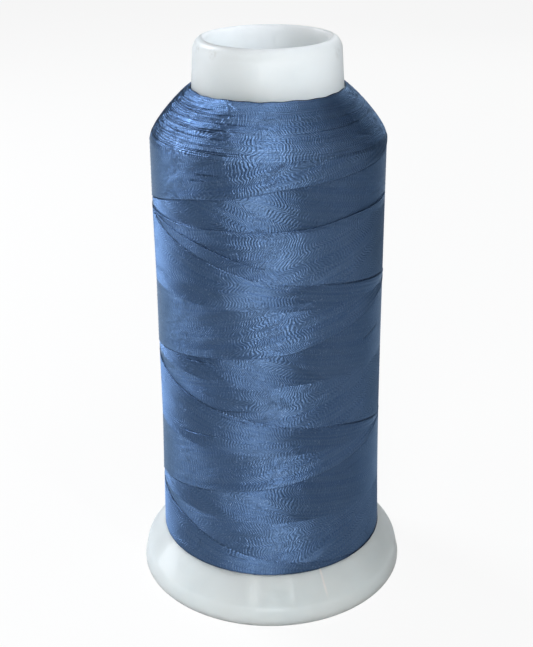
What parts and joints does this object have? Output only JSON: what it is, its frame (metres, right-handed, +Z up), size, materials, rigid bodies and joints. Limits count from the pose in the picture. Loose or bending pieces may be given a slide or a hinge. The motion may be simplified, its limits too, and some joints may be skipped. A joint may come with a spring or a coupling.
{
  "type": "spool of thread",
  "caption": "Tall king spool of embroidery thread: blue thread wound on a conical white tube with a round collar, on a flared push-fit base.",
  "frame": {"origin": "centre of the base, on the surface that the spool stands on", "axes": "+Z up along the tube's axis, towards the collar; the spool is the same all round it"},
  "size_m": [0.0836, 0.0836, 0.168],
  "materials": {
    "base_plastic": "satin, slightly translucent natural white",
    "tube_plastic": "satin, slightly translucent natural white",
    "thread": "lustrous filament polyester, wound tight"
  },
  "bodies": {
    "base": {"snap_base": "base_plastic"},
    "spool": {"core_tube": "tube_plastic", "thread_package": "thread", "outer_turns": "thread"}
  },
  "joints": [
    {"name": "base_release", "type": "slide", "parent": "base", "child": "spool", "axis": [0, 0, 1], "range_m": [0, 0.004]}
  ]
}
